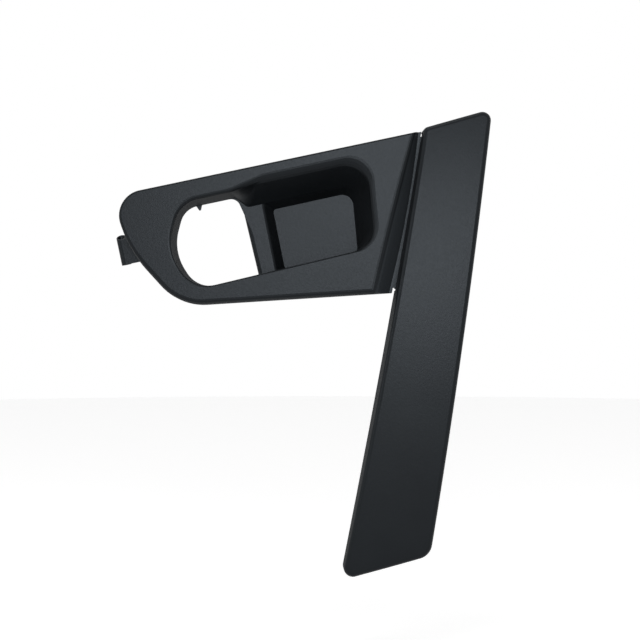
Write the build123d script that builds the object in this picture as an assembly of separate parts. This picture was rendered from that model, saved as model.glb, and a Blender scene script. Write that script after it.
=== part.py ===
from build123d import *
from math import atan2, cos, degrees, radians, sin, sqrt, tan
import os

# Inside door handle trim: a lever surround on the left and a pull strip cover on the right, joined at a seam.
# Millimetres. The front faces -Y, +Z is up, and Y = 0 is the face of the door panel that the trim lies on.
# The origin is the foot of the locating pin at the back of the lever surround.

# Both mouldings
wall = 2.5
rib_wall = 1.4
side_draft = 2.0
piece_gap = 0.3
edge_turns = (0, 20, 42, 65, 90)

# Strip cover, seen from the front
strip_corner_x = 18.4
strip_corner_z = 18.45
strip_left_length = 282.4
strip_top_width = 44.6
strip_bottom_width = 57.7
strip_lean = 10.35
strip_end_tilt = 15.9
strip_side_bow = 1.4
strip_corner_radii = [4.2, 5.6, 10.5, 6.0]

# Strip cover, seen from the side
strip_height = 22.0
strip_bow_radius = 1150.0
strip_crown_radius = 380.0
strip_edge_radius = 3.0
cross_rib_pitch = 24.0
cross_rib_depth = 4.0

# Lever surround, seen from the front
bezel_height = 12.0
seam_top_drop = 1.45
top_tilt = 11.9
bottom_tilt = 3.6
nose_border = 34.9
nose_height = 34.4
nose_slope = 11.9
chin_run = 30.1
chin_drop = 33.2
nose_radius = 16.0
cheek_radius = 74.0
chin_radius = 34.5
top_edge_radius = 1.0
nose_edge_radius = 1.8
bottom_edge_radius = 3.0
border_rib_pitch = 26.0
border_rib_depth = 4.0

# Window in the lever surround, with the lever's opening on the left and the finger pocket on the right
pin_border = 10.5
pocket_height = 55.1
pocket_lean = 5.2
pocket_length = 66.6
step_length = 17.7
opening_length = 30.4
opening_bulge = 7.8
opening_bulge_drop = 28.8
opening_heel = 8.0
pocket_border = 9.1
opening_border = 13.1
window_bottom_tilt = 13.4
window_radii = [18.5, 17.3, 24.5, 15.3, 16.7, 20.0, 33.0]
lip_radii = [2.2, 2.2, 3.0, 3.0, 0.8, 1.4, 2.2]

# Depths below the surround's front face, and how far each wall slopes in on the way down
recess_depth = 17.0
pocket_depth = 26.0
collar_depth = 21.0
opening_top_slope = 2.3
opening_side_slope = 1.4
step_foot_shift = 7.6
step_foot_drop = 14.1
pocket_top_slope = 13.3
pocket_side_slope = 5.7
bottom_slope = 0.4
recess_radii = [13.3, 4.0, 4.0, 9.5, 9.5, 17.5, 31.0]
floor_top_slope = 4.0
floor_side_slope = 4.8
floor_bottom_slope = 0.1
floor_radii = [2.0, 7.0, 3.0, 2.0]

# Rib between the opening and the pocket, and the lug in the opening
rib_place = 68.7
rib_width = 11.4
rib_height = 39.1
rib_taper = 2.1
rib_shoulder_lean = 25.0
rib_side_slope = 5.3
rib_left_radius = 2.6
rib_right_radius = 1.5
opening_radii = [6.0, 3.3, 1.2]
mouth_radius = 1.2
lug_place = 9.4
lug_tip_width = 1.0
lug_root_width = 4.8
lug_reach = 3.0
lug_thickness = 2.0

# Valley where the lever surround meets the strip cover
ridge_border = 4.4
ridge_lean = 14.1
valley_depth = 6.5
ledge_width = 2.6
valley_bulge = 2.2
ridge_bulge = 1.1
ridge_radius = 2.5

# Flange of the surround behind the strip cover, with its screws
flange_width = 25.0
flange_margin = 2.8
flange_radius = 3.0
screw_count = 3
screw_across = 13.5
screw_end_margin = 13.0
screw_grip = 5.5
screw_shank_radius = 1.45
screw_head_radius = 3.0
screw_head_height = 2.0
screw_head_chamfer = 0.6
screw_tip_chamfer = 0.7
screw_recess_length = 3.3
screw_recess_width = 0.9
screw_recess_depth = 1.2
post_radius = 3.6
hole_clearance = 0.35
pilot_clearance = 0.05
pilot_depth_clearance = 0.5

# Locating tongue behind the nose
tongue_width = 19.0
tongue_length = 21.0
tongue_reach = 6.0
tongue_rise = 2.3
tongue_thickness = 2.0
tongue_panel_gap = 2.6
tongue_root = 3.5
tongue_roll_radius = 3.0
tongue_roll_bore = 2.1
tongue_roll_cut = 30.0

# Locating pins
pin_radius = 3.0
pin_length = 9.0
pin_foot_radius = 4.2
pin_tip_chamfer = 0.8
strip_pin_margin = 24.0

# Blades and the spring clips pushed on them
strip_blade_shares = [(0.09, 0.78), (0.53, 0.5), (0.8, 0.5)]
bezel_blade_inset = 20.5
bezel_blade_along = 57.0
bezel_blade_rise = 10.0
pin_blade_across = 4.0
pin_blade_drop = 29.8
blade_thickness = 2.4
blade_width = 9.0
blade_length = 11.0
blade_tip_chamfer = 0.5
blade_foot_thickness = 5.0
blade_foot_drop = 1.0
clip_metal = 0.5
clip_width = 7.0
clip_clearance = 0.05
clip_shoulder = 4.0
clip_neck = 2.8
clip_shoulder_height = 5.5
clip_leg_length = 9.6
clip_bend_radius = 0.45


def front_plane(y):
    """The plane at a depth, seen from the front: local x is X and local y is Z."""
    return Plane(origin=(0, y, 0), x_dir=(1, 0, 0), z_dir=(0, -1, 0))


def direction(angle):
    """A unit step in the front view, its angle counted from +X towards +Z."""
    return Vector(cos(radians(angle)), sin(radians(angle)))


def in_space(place, y=0.0):
    """A place of the front view, put at a depth."""
    return Vector(place.X, y, place.Y)


def crossing(point_a, angle_a, point_b, angle_b):
    """Where two lines of the front view cross, each given by a point and an angle."""
    step_a = direction(angle_a)
    step_b = direction(angle_b)
    apart = point_b - point_a
    share = (apart.X * step_b.Y - apart.Y * step_b.X) / (step_a.X * step_b.Y - step_a.Y * step_b.X)
    return point_a + step_a * share


def moved_sides(corners, moves):
    """A clockwise polygon with each side moved outwards; side i runs from corner i to the next."""
    lines = []
    for index, corner in enumerate(corners):
        after = corners[(index + 1) % len(corners)]
        angle = degrees(atan2(after.Y - corner.Y, after.X - corner.X))
        lines.append((corner + direction(angle + 90) * moves[index], angle))
    return [crossing(*lines[index - 1], *lines[index]) for index in range(len(corners))]


def between(start, end, share):
    """The corners or radii that lie a share of the way from one list to the other."""
    return [a + (b - a) * share for a, b in zip(start, end)]


def rounded_face(corners, corner_radii, y):
    """A flat face at a depth, from its corners and the radius at each of them."""
    face = make_face(Polyline(*corners, close=True))
    for corner, radius in zip(corners, corner_radii):
        if radius:
            face = fillet(face.vertices().sort_by_distance(corner)[0], radius)
    return front_plane(y) * face


def prism(face, y_end):
    """A face of the front view, carried straight to another depth."""
    return extrude(face, amount=face.center().Y - y_end, dir=(0, -1, 0))


def slab(center, angle, length, width, y_start, y_end):
    """A block whose length runs at an angle in the front view."""
    frame = Plane(origin=in_space(center, y_end), x_dir=in_space(direction(angle)), z_dir=(0, -1, 0))
    return extrude(frame * Rectangle(length, width), amount=y_end - y_start)


def rounding(radius, depth):
    """How far a rounded edge lies inside its wall, at a depth below the face."""
    if depth >= radius:
        return 0.0
    return radius - sqrt(radius**2 - (radius - depth) ** 2)


# Places in the front view that several pieces share
strip_corner = Vector(strip_corner_x, strip_corner_z)
strip_down = direction(-90 - strip_lean)
strip_right = direction(strip_end_tilt)


def strip_place(along, across):
    """A place on the strip cover, by the distance down its left edge and the distance across from it."""
    middle = strip_left_length / 2
    bow = strip_side_bow * (1 - ((along - middle) / middle) ** 2)
    return strip_corner + strip_down * along + strip_right * (across + bow)


def strip_width(along):
    """The strip cover's width at a distance down its left edge."""
    return strip_top_width + (strip_bottom_width - strip_top_width) * along / strip_left_length


seam_top = strip_place(seam_top_drop, 0)


def border_place(x, border):
    """A place at a height below the surround's straight top edge."""
    return Vector(x, seam_top.Y - (seam_top.X - x) * tan(radians(top_tilt)) - border)


rim_top_right = border_place(-pin_border - pocket_lean, pocket_border)
rim_low_right = rim_top_right + Vector(pocket_lean, -pocket_height)
rim_step_right = border_place(rim_top_right.X - pocket_length, pocket_border)
rim_step_left = border_place(rim_step_right.X - step_length, opening_border)
rim_top_left = border_place(rim_step_left.X - opening_length, opening_border)
rim_left = rim_top_left + Vector(-opening_bulge, -opening_bulge_drop)
rim_low_left = crossing(rim_low_right, window_bottom_tilt, rim_top_left + Vector(opening_heel, 0), 90)
window_rim = [
    rim_top_left,
    rim_step_left,
    rim_step_right,
    rim_top_right,
    rim_low_right,
    rim_low_left,
    rim_left,
]

recess_end = moved_sides(
    window_rim,
    [
        -opening_top_slope,
        0.0,
        -pocket_top_slope,
        -pocket_side_slope,
        -bottom_slope,
        -opening_side_slope,
        -opening_side_slope,
    ],
)
recess_end[1] = border_place(rim_step_left.X + opening_top_slope, opening_border + opening_top_slope)
recess_end[2] = border_place(rim_step_right.X - step_foot_shift, pocket_border + step_foot_drop)

nose_top = border_place(rim_left.X - nose_border, 0)
cheek = nose_top + Vector(nose_slope, -nose_height)
chin = cheek + Vector(chin_run, -chin_drop)
seam_angle = -90 - strip_lean
heel = crossing(chin, bottom_tilt, seam_top, seam_angle)
seam_length = (heel - seam_top).length
bezel_corners = [nose_top, seam_top, heel, chin, cheek]
bezel_radii = [nose_radius, 0, 0, chin_radius, cheek_radius]

front_y = -bezel_height
ledge_y = front_y + valley_depth
flange_back_y = ledge_y + wall
recess_y = front_y + recess_depth
pocket_y = front_y + pocket_depth
collar_y = front_y + collar_depth

rib_foot = recess_end[4] - direction(window_bottom_tilt) * rib_place
rib_top = rib_foot + direction(window_bottom_tilt + 90) * rib_height
rib_shoulder = crossing(recess_end[0], top_tilt, rib_top, 90 + rib_shoulder_lean)
opening_edge = [recess_end[0], rib_shoulder, rib_top, rib_foot, recess_end[5], recess_end[6]]
opening_edge_radii = [recess_radii[0], *opening_radii, recess_radii[5], recess_radii[6]]

mouth_low_left = rib_foot + direction(window_bottom_tilt) * rib_width
mouth_top_angle = degrees(atan2(recess_end[3].Y - recess_end[2].Y, recess_end[3].X - recess_end[2].X))
mouth_top_left = crossing(mouth_low_left, window_bottom_tilt + 90 - rib_taper, recess_end[3], mouth_top_angle)
pocket_mouth = [mouth_top_left, recess_end[3], recess_end[4], mouth_low_left]
mouth_radii = [mouth_radius, recess_radii[3], recess_radii[4], mouth_radius]
pocket_floor = moved_sides(
    pocket_mouth, [-floor_top_slope, -floor_side_slope, -floor_bottom_slope, -rib_side_slope]
)


def strip_block(depth, y_back=0.0):
    """The strip cover's solid form, its side walls and its bowed and crowned front moved in by a depth."""
    corners = [
        strip_place(0, 0),
        strip_place(0, strip_top_width),
        strip_place(strip_left_length, strip_bottom_width),
        strip_place(strip_left_length, 0),
    ]
    left_middle = strip_place(strip_left_length / 2, 0)
    right_middle = strip_place(strip_left_length / 2, strip_width(strip_left_length / 2))
    outline = [
        Line(corners[0], corners[1]),
        ThreePointArc(corners[1], right_middle, corners[2]),
        Line(corners[2], corners[3]),
        ThreePointArc(corners[3], left_middle, corners[0]),
    ]
    face = make_face(outline)
    for corner, radius in zip(corners, strip_corner_radii):
        face = fillet(face.vertices().sort_by_distance(corner)[0], radius)
    if depth:
        face = offset(face, amount=-depth)
    sides = extrude(front_plane(y_back) * face, amount=strip_height + wall, taper=side_draft)
    return sides & strip_cushion(depth)


def strip_cushion(depth):
    """A slab with the strip cover's front form: crowned across and bowed along its length."""
    middle = strip_place(strip_left_length / 2, strip_width(strip_left_length / 2) / 2)
    across = in_space(direction(-strip_lean))
    section_plane = Plane(origin=in_space(middle), x_dir=across, z_dir=across.cross(Vector(0, 1, 0)))
    half_width = strip_bottom_width
    crown_drop = strip_crown_radius - sqrt(strip_crown_radius**2 - half_width**2)
    front = depth - strip_height
    section = make_face(
        [
            ThreePointArc((-half_width, front + crown_drop), (0, front), (half_width, front + crown_drop)),
            Line((half_width, front + crown_drop), (half_width, strip_height)),
            Line((half_width, strip_height), (-half_width, strip_height)),
            Line((-half_width, strip_height), (-half_width, front + crown_drop)),
        ]
    )
    bow_axis = Axis(in_space(middle, strip_bow_radius - strip_height), across)
    half_turn = degrees((strip_left_length / 2 + strip_bottom_width) / strip_bow_radius)
    return revolve((section_plane * section).rotate(bow_axis, -half_turn), bow_axis, 2 * half_turn)


def post(place, radius, y_start, y_end):
    """A round post or hole, along Y between two depths."""
    return Pos(place.X, 0, place.Y) * extrude(front_plane(y_end) * Circle(radius), amount=y_end - y_start)


def locating_pin(place, y_root):
    """A pin with a wider foot that reaches from a root to the door panel's face."""
    foot = post(place, pin_foot_radius, y_root, 0)
    pin = post(place, pin_radius, 0, pin_length)
    tip = pin.edges().sort_by(Axis.Y)[-1]
    return foot, chamfer(tip, pin_tip_chamfer)


def blade(place, angle, y_root):
    """A moulded blade with a thicker foot; the angle is that of its thickness in the front view."""
    foot = slab(place, angle, blade_foot_thickness, blade_width, y_root, -blade_foot_drop)
    tongue = slab(place, angle, blade_thickness, blade_width, -blade_foot_drop, blade_length)
    tip = tongue.edges().filter_by(Axis.Y, reverse=True).group_by(Axis.Y)[-1]
    return foot, chamfer(tip, blade_tip_chamfer)


def spring_clip(place, angle):
    """A folded sheet-metal clip that grips a blade, with two sprung shoulders and a closed nose."""
    leg = blade_thickness / 2 + clip_clearance + clip_metal / 2
    low = clip_metal / 2 + piece_gap - blade_foot_drop
    half = [
        (leg, low + clip_leg_length),
        (leg, low),
        (clip_neck, low),
        (clip_shoulder, clip_shoulder_height),
        (leg + clip_metal, blade_length + clip_metal),
        (0, blade_length + clip_shoulder / 2),
    ]
    path = half + [(-x, y) for x, y in reversed(half[:-1])]
    band = trace(FilletPolyline(*path, radius=clip_bend_radius), line_width=clip_metal)
    x_dir = in_space(direction(angle))
    width_dir = x_dir.cross(Vector(0, 1, 0))
    frame = Plane(origin=in_space(place) - width_dir * (clip_width / 2), x_dir=x_dir, z_dir=width_dir)
    return extrude(frame * band, amount=clip_width)


screw_places = [
    strip_place(
        seam_top_drop + screw_end_margin + (seam_length - 2 * screw_end_margin) * index / (screw_count - 1),
        screw_across,
    )
    for index in range(screw_count)
]
strip_blades = []
for share_along, share_across in strip_blade_shares:
    along = share_along * strip_left_length
    strip_blades.append((strip_place(along, share_across * strip_width(along)), -strip_lean))
strip_pin_place = strip_place(strip_left_length - strip_pin_margin, strip_width(strip_left_length) / 2)
bezel_blades = [
    (nose_top + Vector(bezel_blade_inset, -bezel_blade_rise), 0),
    (heel + direction(180 + bottom_tilt) * bezel_blade_along + Vector(0, bezel_blade_rise), 90),
    (Vector(-pin_blade_across, -pin_blade_drop), 0),
]


def pull_strip_cover():
    """The long cover: a bowed shell with cross ribs, screw posts, clip blades and a locating pin."""
    block = strip_block(0)
    front_face = block.faces().sort_by(Axis.Y)[0]
    block = fillet(front_face.edges(), strip_edge_radius)
    hollow = strip_block(wall)
    shell = block - hollow

    rib_zone = hollow - strip_block(wall + cross_rib_depth)
    rib_count = int((strip_left_length - cross_rib_pitch) / cross_rib_pitch)
    for index in range(rib_count):
        place = strip_place(cross_rib_pitch * (index + 1), strip_top_width / 2)
        rib = slab(place, -strip_lean, 2 * strip_bottom_width, rib_wall, -strip_height, 0)
        shell += rib & rib_zone
    seam_middle = strip_place(seam_top_drop + seam_length / 2, 0)
    cut_width = 3 * (wall + cross_rib_depth)
    shell -= slab(seam_middle, seam_angle, seam_length - flange_margin, cut_width, ledge_y, wall)

    core = strip_cushion(wall / 2)
    for place in screw_places:
        shell += post(place, post_radius, -strip_height, ledge_y) & core
    for place, angle in strip_blades:
        foot, tongue = blade(place, angle, -strip_height)
        shell += (foot & core) + tongue
    foot, pin = locating_pin(strip_pin_place, -strip_height)
    shell += (foot & core) + pin
    pilot_y = ledge_y - screw_grip - pilot_depth_clearance
    for place in screw_places:
        shell -= post(place, screw_shank_radius + pilot_clearance, pilot_y, wall)
    return shell


def joining_screw(place):
    """A pan-head screw, driven from behind through the flange into its post."""
    top = flange_back_y + screw_head_height
    head = post(place, screw_head_radius, flange_back_y, top)
    head = chamfer(head.edges().sort_by(Axis.Y)[-1], screw_head_chamfer)
    shank = post(place, screw_shank_radius, ledge_y - screw_grip, flange_back_y)
    shank = chamfer(shank.edges().sort_by(Axis.Y)[0], screw_tip_chamfer)
    recess_start = top - screw_recess_depth
    recess = slab(place, 0, screw_recess_length, screw_recess_width, recess_start, top)
    recess += slab(place, 90, screw_recess_length, screw_recess_width, recess_start, top)
    return head + shank - recess


def bezel_section(depth, inset):
    """The surround's outline at a depth below its face, all but the seam side moved in by an inset."""
    edge_radii = [top_edge_radius, 0, bottom_edge_radius, bottom_edge_radius, nose_edge_radius]
    moves = []
    for side, edge_radius in enumerate(edge_radii):
        slant = (bezel_height - depth) * tan(radians(side_draft))
        roll = rounding(edge_radius, depth) if inset == 0 else 0
        moves.append(-piece_gap if side == 1 else -(roll + slant + inset))
    corners = moved_sides(bezel_corners, moves)
    radii = [
        radius + (moves[index - 1] + moves[index]) / 2 if radius else 0
        for index, radius in enumerate(bezel_radii)
    ]
    return rounded_face(corners, radii, front_y + depth)


def bezel_block():
    """The surround's solid form, with its edges rounded over where face and skirt meet."""
    depths = rounded_edge_depths(bottom_edge_radius)
    edge = loft([bezel_section(depth, 0) for depth in depths], ruled=True)
    skirt = loft([bezel_section(depths[-1], 0), bezel_section(bezel_height, 0)], ruled=True)
    return edge + skirt


def bezel_hollow():
    """The space inside the surround's face and skirt."""
    return loft([bezel_section(wall, wall), bezel_section(bezel_height, wall)], ruled=True)


def rounded_edge_depths(radius):
    """Depths at which a rounded edge is drawn, closer together where it turns over into the face."""
    return [radius * (1 - cos(radians(turn))) for turn in edge_turns]


def valley(shift, drop):
    """What the valley takes away beside the seam: a rounded ridge, a slope and a narrow ledge."""
    ridge_top = seam_top + direction(180 + top_tilt) * (ridge_border + shift)
    ridge_low = crossing(ridge_top, -90 - ridge_lean, chin, bottom_tilt)
    ridge_middle = (ridge_top + ridge_low) * 0.5 - direction(seam_angle + 90) * ridge_bulge
    foot_top = seam_top + direction(180 + top_tilt) * (ledge_width + shift)
    foot_low = heel + direction(180 + bottom_tilt) * (ledge_width + shift)
    foot_middle = (foot_top + foot_low) * 0.5 + direction(seam_angle + 90) * valley_bulge
    foot = [foot_top, foot_middle, foot_low]
    far = strip_right * flange_width
    end_reach = 2 * wall

    def section(depth, y):
        roll = direction(180) * rounding(ridge_radius, depth)
        ridge = [ridge_top + roll, ridge_middle + roll, ridge_low + roll]
        top, middle, low = between(ridge, foot, depth / valley_depth)
        down = (low - top).normalized() * end_reach
        arc = ThreePointArc(top - down, middle, low + down)
        lines = Polyline(low + down, low + down + far, top - down + far, top - down)
        return front_plane(y + drop) * make_face([arc, lines])

    depths = rounded_edge_depths(ridge_radius) + [valley_depth]
    slope = loft([section(depth, front_y + depth) for depth in depths], ruled=True)
    return slope + prism(section(0, front_y), front_y + drop - wall)


def window_section(depth, grow=0.0, with_lip=False):
    """The window's outline at a depth below the face, wider where its lip is rounded."""
    share = depth / recess_depth
    corners = between(window_rim, recess_end, share)
    radii = between(window_radii, recess_radii, share)
    moves = [grow] * len(corners)
    if with_lip:
        moves = [rounding(radius, depth) for radius in lip_radii]
    return rounded_face(moved_sides(corners, moves), [radius + grow for radius in radii], front_y + depth)


def window_recess():
    """The space of the shallow recess, with its rounded lip and sloped walls."""
    depths = rounded_edge_depths(max(lip_radii))
    lip = loft([window_section(depth, with_lip=True) for depth in depths], ruled=True)
    above = prism(window_section(0, with_lip=True), front_y - wall)
    walls = loft([window_section(depths[-1]), window_section(recess_depth)], ruled=True)
    return above + lip + walls


def window_tub():
    """The recess's walls and floor, still solid."""
    return loft([window_section(wall / 2, wall), window_section(recess_depth + wall, wall)], ruled=True)


def opening_section(depth, grow=0.0):
    """The lever opening's outline below the recess floor, wider where the rib's edge is rounded."""
    moves = [grow] * len(opening_edge)
    moves[2] += rounding(rib_left_radius, depth)
    radii = [radius + grow for radius in opening_edge_radii]
    return rounded_face(moved_sides(opening_edge, moves), radii, recess_y + depth)


def opening_space():
    """The space of the lever opening, straight through the recess floor and the collar."""
    depths = rounded_edge_depths(rib_left_radius)
    edge = loft([opening_section(depth) for depth in depths], ruled=True)
    above = prism(opening_section(0), recess_y - wall / 2)
    return above + edge + prism(opening_section(depths[-1]), collar_y + wall)


def opening_collar():
    """The collar behind the opening, still solid."""
    return prism(opening_section(collar_y - recess_y, wall), recess_y)


def pocket_section(depth, grow=0.0, with_lip=False):
    """The finger pocket's outline at a depth below the recess floor."""
    share = depth / (pocket_y - recess_y)
    corners = between(pocket_mouth, pocket_floor, share)
    radii = between(mouth_radii, floor_radii, share)
    moves = [grow] * len(corners)
    if with_lip:
        moves[3] += rounding(rib_right_radius, depth)
    return rounded_face(moved_sides(corners, moves), [radius + grow for radius in radii], recess_y + depth)


def pocket_space():
    """The space of the finger pocket, below the recess floor."""
    depths = rounded_edge_depths(rib_right_radius)
    edge = loft([pocket_section(depth, with_lip=True) for depth in depths], ruled=True)
    above = prism(pocket_section(0, with_lip=True), recess_y - wall / 2)
    return above + edge + loft([pocket_section(depths[-1]), pocket_section(pocket_y - recess_y)], ruled=True)


def pocket_tub():
    """The finger pocket's walls and floor, still solid."""
    return loft([pocket_section(0, wall), pocket_section(pocket_y - recess_y + wall, wall)], ruled=True)


def opening_lug():
    """The small pointed lug behind the opening's top edge."""
    top_angle = degrees(atan2(rib_shoulder.Y - recess_end[0].Y, rib_shoulder.X - recess_end[0].X))
    along = direction(top_angle)
    up = direction(top_angle + 90)
    tip = recess_end[0] + along * lug_place - up * lug_reach
    root = tip + up * (lug_reach + wall / 2)
    tip_side = along * (lug_tip_width / 2)
    root_side = along * (lug_root_width / 2)
    corners = [tip - tip_side, tip + tip_side, root + root_side, root - root_side]
    return prism(front_plane(collar_y) * make_face(Polyline(*corners, close=True)), collar_y - lug_thickness)


def seam_flange():
    """The flange behind the strip cover, level with the ledge beside the seam, with its screw holes."""
    overlap = ledge_width / 2
    center = (seam_top + heel) * 0.5 + direction(-strip_lean) * ((flange_width - overlap) / 2)
    length = seam_length - 2 * flange_margin
    plate = slab(center, seam_angle, length, flange_width + overlap, ledge_y, flange_back_y)
    plate = fillet(plate.edges().filter_by(Axis.Y), flange_radius)
    for place in screw_places:
        plate -= post(place, screw_shank_radius + hole_clearance, ledge_y - wall, wall)
    return plate


def locating_tongue():
    """The tongue that reaches out behind the nose, on its web, with its end rolled backwards."""
    along = direction(top_tilt)
    up = direction(top_tilt + 90)
    end = cheek + Vector(-tongue_reach, tongue_rise)
    plate_back = tongue_panel_gap + tongue_thickness
    roll_back = tongue_panel_gap + 2 * tongue_roll_radius
    plate_place = end + along * (tongue_length / 2)
    plate = slab(plate_place, top_tilt, tongue_length, tongue_width, tongue_panel_gap, plate_back)
    web_place = end + along * (tongue_length - tongue_root / 2)
    web = slab(web_place, top_tilt, tongue_root, tongue_width, front_y + wall / 2, plate_back)
    low_end = in_space(end - up * (tongue_width / 2), roll_back - tongue_roll_radius)
    low = Plane(origin=low_end, z_dir=in_space(up))
    roll = extrude(low * Circle(tongue_roll_radius), amount=tongue_width)
    bore = extrude(low * Circle(tongue_roll_bore), amount=tongue_width)
    cut_lean = radians(tongue_roll_cut)
    cut_normal = in_space(up * cos(cut_lean), -sin(cut_lean))
    cut_place = in_space(end + up * (tongue_width / 2), roll_back)
    cut_plane = Plane(origin=cut_place, x_dir=in_space(along), z_dir=cut_normal)
    cut_size = 2 * tongue_roll_radius
    end_cut = extrude(cut_plane * Rectangle(cut_size, 3 * cut_size), amount=cut_size)
    return plate + roll - bore - end_cut, web


def handle_bezel():
    """The lever surround: a shell with its recess, opening, pocket, valley, flange and fixings."""
    hollow = bezel_hollow() - valley(wall, wall)
    shell = bezel_block() - valley(0, 0) - hollow
    shell += window_tub()
    rib_count = int((seam_top.X - rim_left.X) / border_rib_pitch)
    for index in range(rib_count):
        place = Vector(rim_left.X + border_rib_pitch * (index + 0.5), recess_end[4].Y)
        rib_end = front_y + wall + border_rib_depth
        rib = slab(place, 90, 2 * pocket_length, rib_wall, front_y, rib_end)
        shell += rib & hollow
    shell += pocket_tub()
    shell += opening_collar()
    shell += seam_flange()
    for place, angle in bezel_blades:
        foot, tongue = blade(place, angle, front_y + wall / 2)
        shell += foot + tongue
    foot, pin = locating_pin(Vector(0, 0), front_y + wall / 2)
    shell += foot + pin
    tongue, web = locating_tongue()
    shell += web + tongue
    shell -= window_recess()
    shell -= pocket_space()
    shell -= opening_space()
    return shell + opening_lug()


pieces = {"handle_bezel": handle_bezel(), "pull_strip_cover": pull_strip_cover()}
for number, place in enumerate(screw_places, start=1):
    pieces[f"joining_screw_{number}"] = joining_screw(place)
for number, (place, angle) in enumerate(bezel_blades + strip_blades, start=1):
    pieces[f"spring_clip_{number}"] = spring_clip(place, angle)

os.makedirs("parts", exist_ok=True)
for node, piece in pieces.items():
    export_step(piece, f"parts/{node}.step")
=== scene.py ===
import math

import bpy
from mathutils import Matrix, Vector

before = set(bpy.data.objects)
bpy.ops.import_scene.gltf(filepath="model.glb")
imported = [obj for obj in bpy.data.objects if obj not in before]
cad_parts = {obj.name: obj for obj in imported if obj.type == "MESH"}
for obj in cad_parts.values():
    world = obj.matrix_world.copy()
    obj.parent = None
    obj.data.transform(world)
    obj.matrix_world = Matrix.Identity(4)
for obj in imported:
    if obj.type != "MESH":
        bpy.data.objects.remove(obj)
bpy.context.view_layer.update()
bpy.ops.object.select_all(action="DESELECT")


# Lever surround. One moulding of black plastic with a fine grain, with the lever's opening, the finger
# pocket, and a valley along the seam to the strip cover. The valley's slope has painted light: its base
# colour is drawn paler, standing in for the light that falls on it.
class Value:
    """A socket that can be added to, multiplied and so on, each time with one more Math node."""

    def __init__(self, tree, socket=None):
        self.tree = tree
        self.socket = socket

    def node(self, kind, settings=None, inputs=None, output=0):
        """Any other node: its settings first, then its sockets' values or links."""
        node = self.tree.nodes.new(kind)
        for name, setting in (settings or {}).items():
            if name == "stops":
                ramp = node.color_ramp
                while len(ramp.elements) < len(setting):
                    ramp.elements.new(0.5)
                for element, (place, color) in zip(ramp.elements, setting):
                    element.position = place
                    element.color = color
            else:
                setattr(node, name, setting)
        for name, value in (inputs or {}).items():
            if isinstance(value, Value):
                self.tree.links.new(value.socket, node.inputs[name])
            else:
                node.inputs[name].default_value = value
        return Value(self.tree, node.outputs[output])

    def maths(self, operation, first, second):
        return self.node("ShaderNodeMath", {"operation": operation}, {0: first, 1: second})

    def __add__(self, other):
        return self.maths("ADD", self, other)

    def __radd__(self, other):
        return self.maths("ADD", other, self)

    def __sub__(self, other):
        return self.maths("SUBTRACT", self, other)

    def __rsub__(self, other):
        return self.maths("SUBTRACT", other, self)

    def __mul__(self, other):
        return self.maths("MULTIPLY", self, other)

    def __rmul__(self, other):
        return self.maths("MULTIPLY", other, self)

    def __gt__(self, other):
        return self.maths("GREATER_THAN", self, other)

    def __lt__(self, other):
        return self.maths("LESS_THAN", self, other)

    def within(self, low, high):
        """The value, held between two limits."""
        return self.maths("MINIMUM", self.maths("MAXIMUM", self, low), high)


class Finish:
    """A material under way: its shader, and places in the object's own frame."""

    def __init__(self, name):
        self.material = bpy.data.materials.new(name)
        self.material.use_nodes = True
        tree = self.material.node_tree
        self.shader = next(node for node in tree.nodes if node.type == "BSDF_PRINCIPLED")
        self.place = Value(tree).node("ShaderNodeTexCoord", output="Object")

    def feed(self, **values):
        """Links values to the shader's sockets."""
        for name, value in values.items():
            self.shader.id_data.links.new(value.socket, self.shader.inputs[name.replace("_", " ")])

    def dress(self, node):
        """Puts the finish on a CAD node."""
        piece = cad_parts[node]
        for slot in piece.material_slots:
            slot.material = self.material
        if not piece.material_slots:
            piece.data.materials.append(self.material)


def grained_black(finish, painted_light_mask=None):
    """Black with a fine grain, slight mottling and a satin shine that fades where it is seen edge-on."""
    place = finish.place
    mottle = place.node("ShaderNodeTexNoise", None, {"Vector": place, "Scale": 38.0, "Detail": 3.0})
    dark = (0.0036, 0.0042, 0.0049, 1.0)
    pale = (0.0046, 0.0054, 0.0062, 1.0)
    base = place.node("ShaderNodeValToRGB", {"stops": [(0.35, dark), (0.65, pale)]}, {"Fac": mottle})
    # Painted light: where the mask is set, the base colour is paler, standing in for light falling there.
    if painted_light_mask is not None:
        painted_light_tone = (0.020, 0.023, 0.026, 1.0)
        base = place.node("ShaderNodeMix", {"data_type": "RGBA"}, {0: painted_light_mask, 6: base, 7: painted_light_tone}, output=2)

    # The grain in three sizes: about 0.4 mm, 0.7 mm and 1.5 mm across.
    fine = place.node("ShaderNodeTexNoise", None, {"Vector": place, "Scale": 2600.0, "Detail": 2.0})
    pebble = place.node("ShaderNodeTexVoronoi", None, {"Vector": place, "Scale": 1500.0})
    coarse = place.node("ShaderNodeTexNoise", None, {"Vector": place, "Scale": 650.0, "Detail": 2.0})
    height = fine * 0.25 + pebble * 0.25 + coarse * 0.8
    grain_depth = 0.00025
    relief = {"Strength": 0.22, "Distance": grain_depth, "Height": height}
    normal = place.node("ShaderNodeBump", None, relief)

    # Shine varies with the mottling and the coarse grain, and fades past about 60 degrees.
    edge_on = place.node("ShaderNodeLayerWeight", None, {"Blend": 0.5}, output="Facing")
    fade_start = 0.5
    fade_span = 0.35
    fading = (edge_on - fade_start).within(0.0, fade_span) * 1.4
    smoothest = 0.255
    roughness = mottle * 0.05 + coarse * 0.11 + smoothest + fading

    finish.feed(Base_Color=base, Roughness=roughness, Normal=normal)
    finish.shader.inputs["Specular IOR Level"].default_value = 0.165
    finish.shader.inputs["Specular Tint"].default_value = (0.82, 0.91, 1.0, 1.0)


ridge_top = (0.0139, 0.0161)
ridge_lean = math.radians(14.1)
behind_ledge = -0.0042
painted_light_edge = 0.001

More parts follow.
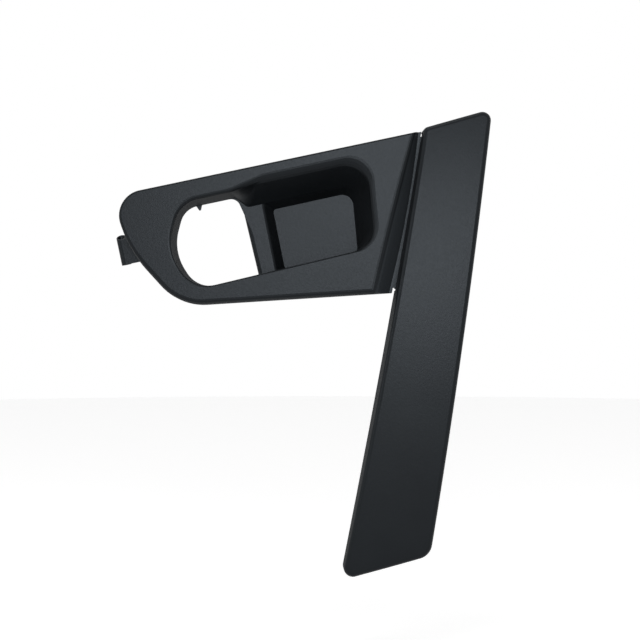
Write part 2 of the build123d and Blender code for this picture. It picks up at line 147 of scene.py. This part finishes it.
surround_black = Finish("surround_black")
place = surround_black.place
across = place.node("ShaderNodeSeparateXYZ", None, {"Vector": place}, output="X")
deep = place.node("ShaderNodeSeparateXYZ", None, {"Vector": place}, output="Y")
up = place.node("ShaderNodeSeparateXYZ", None, {"Vector": place}, output="Z")
from_top = across - ridge_top[0]
below_top = ridge_top[1] - up
right_of_ridge = from_top * math.cos(ridge_lean) + below_top * math.sin(ridge_lean)
# Mask of the valley's slope behind the ledge, where light is painted into the colour as a paler base.
valley_painted_light = (right_of_ridge * (1 / painted_light_edge) + 0.5).within(0.0, 1.0)
grained_black(surround_black, valley_painted_light * (deep < behind_ledge))
surround_black.dress("handle_bezel")


# Pull strip cover. The long bowed moulding that hides the pull handle, of the same grained black plastic,
# screwed to the surround's flange and held to the door by its clips.
strip_black = Finish("strip_black")
grained_black(strip_black)
strip_black.dress("pull_strip_cover")


# Joining screws. Zinc-plated steel, turned and rolled, driven from behind through the surround's flange
# into posts inside the strip cover.
def plain_steel(finish, tone, gloss_low, gloss_high):
    """Bare or plated steel with faint brushing and cloudy patches."""
    place = finish.place
    streak = place.node("ShaderNodeTexNoise", None, {"Vector": place, "Scale": 900.0, "Detail": 2.0})
    cloud = place.node("ShaderNodeTexNoise", None, {"Vector": place, "Scale": 180.0, "Detail": 2.0})
    dark = tuple(channel * 0.85 for channel in tone) + (1.0,)
    pale = tuple(channel * 1.1 for channel in tone) + (1.0,)
    base = place.node("ShaderNodeValToRGB", {"stops": [(0.3, dark), (0.7, pale)]}, {"Fac": cloud})
    roughness = streak * (gloss_high - gloss_low) + gloss_low
    normal = place.node("ShaderNodeBump", None, {"Strength": 0.1, "Distance": 0.00005, "Height": streak})
    finish.feed(Base_Color=base, Roughness=roughness, Normal=normal)
    finish.shader.inputs["Metallic"].default_value = 1.0


screw_zinc = Finish("screw_zinc")
plain_steel(screw_zinc, (0.55, 0.55, 0.56), 0.25, 0.42)
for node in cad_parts:
    if node.startswith("joining_screw"):
        screw_zinc.dress(node)


# Spring clips. Folded from half-millimetre plain spring steel and pushed onto the moulded blades, so that
# their shoulders snap into the door panel's holes.
clip_steel = Finish("clip_steel")
plain_steel(clip_steel, (0.42, 0.42, 0.43), 0.3, 0.5)
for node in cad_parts:
    if node.startswith("spring_clip"):
        clip_steel.dress(node)


# Floor, light and camera. A pale floor a little below the trim, a soft lamp in front, to the right of the
# camera, weaker ones at the left and overhead, and a room that the camera and shiny surfaces see as white,
# while it lights dull surfaces half as much.
def seen_rays(tree):
    """One for rays from the camera, from a shiny surface or through a clear one, and nought for others."""
    camera_ray = Value(tree).node("ShaderNodeLightPath", output="Is Camera Ray")
    glossy_ray = Value(tree).node("ShaderNodeLightPath", output="Is Glossy Ray")
    clear_ray = Value(tree).node("ShaderNodeLightPath", output="Is Transmission Ray")
    return (camera_ray + glossy_ray + clear_ray) > 0.5


floor_radius = 2.6
floor_height = -0.30
middle = (0, 0, floor_height)
bpy.ops.mesh.primitive_circle_add(vertices=96, radius=floor_radius, fill_type="NGON", location=middle)
floor = bpy.context.object
floor.name = "floor"
floor_paint = Finish("floor_paint")
floor_paint.shader.inputs["Base Color"].default_value = (0.75, 0.75, 0.75, 1.0)
floor_paint.shader.inputs["Roughness"].default_value = 0.8
floor_paint.shader.inputs["Emission Strength"].default_value = 1.0
floor_seen = seen_rays(floor_paint.material.node_tree)
unlit = (0.0, 0.0, 0.0, 1.0)
glow = (0.5, 0.5, 0.5, 1.0)
ends = {0: floor_seen, 6: unlit, 7: glow}
floor_paint.feed(Emission_Color=floor_seen.node("ShaderNodeMix", {"data_type": "RGBA"}, ends, output=2))
floor.data.materials.append(floor_paint.material)


def soft_lamp(name, place, aim, size, power):
    """A soft lamp that points at a place."""
    lamp = bpy.data.lights.new(name, "AREA")
    lamp.shape = "RECTANGLE"
    lamp.size, lamp.size_y = size
    lamp.energy = power
    lamp_object = bpy.data.objects.new(name, lamp)
    lamp_object.location = place
    lamp_object.rotation_euler = (Vector(aim) - Vector(place)).to_track_quat("-Z", "Y").to_euler()
    bpy.context.scene.collection.objects.link(lamp_object)


soft_lamp("front_lamp", (0.12, -1.6, 0.175), (-0.005, 0.0, -0.06), (0.95, 0.65), 14.2)
soft_lamp("left_lamp", (-1.4, -0.9, 0.2), (0.0, 0.0, -0.06), (0.5, 0.8), 3.0)
soft_lamp("top_lamp", (-0.3, -0.5, 1.4), (0.0, 0.0, 0.0), (0.5, 0.5), 3.0)

world = bpy.data.worlds.new("studio")
bpy.context.scene.world = world
world.use_nodes = True
background = next(node for node in world.node_tree.nodes if node.type == "BACKGROUND")
background.inputs["Color"].default_value = (1.0, 1.0, 1.0, 1.0)
room_light = 0.5
room_strength = seen_rays(world.node_tree) * (1.0 - room_light) + room_light
world.node_tree.links.new(room_strength.socket, background.inputs["Strength"])

camera_data = bpy.data.cameras.new("camera")
camera_data.sensor_width = 36.0
camera_data.lens = 72.58
camera_data.clip_end = 20.0
camera = bpy.data.objects.new("camera", camera_data)
camera.location = (-0.04464, -0.8, -0.0992)
camera.rotation_euler = (math.radians(90), 0, 0)
bpy.context.scene.collection.objects.link(camera)
bpy.context.scene.camera = camera
bpy.context.scene.view_settings.view_transform = "Standard"
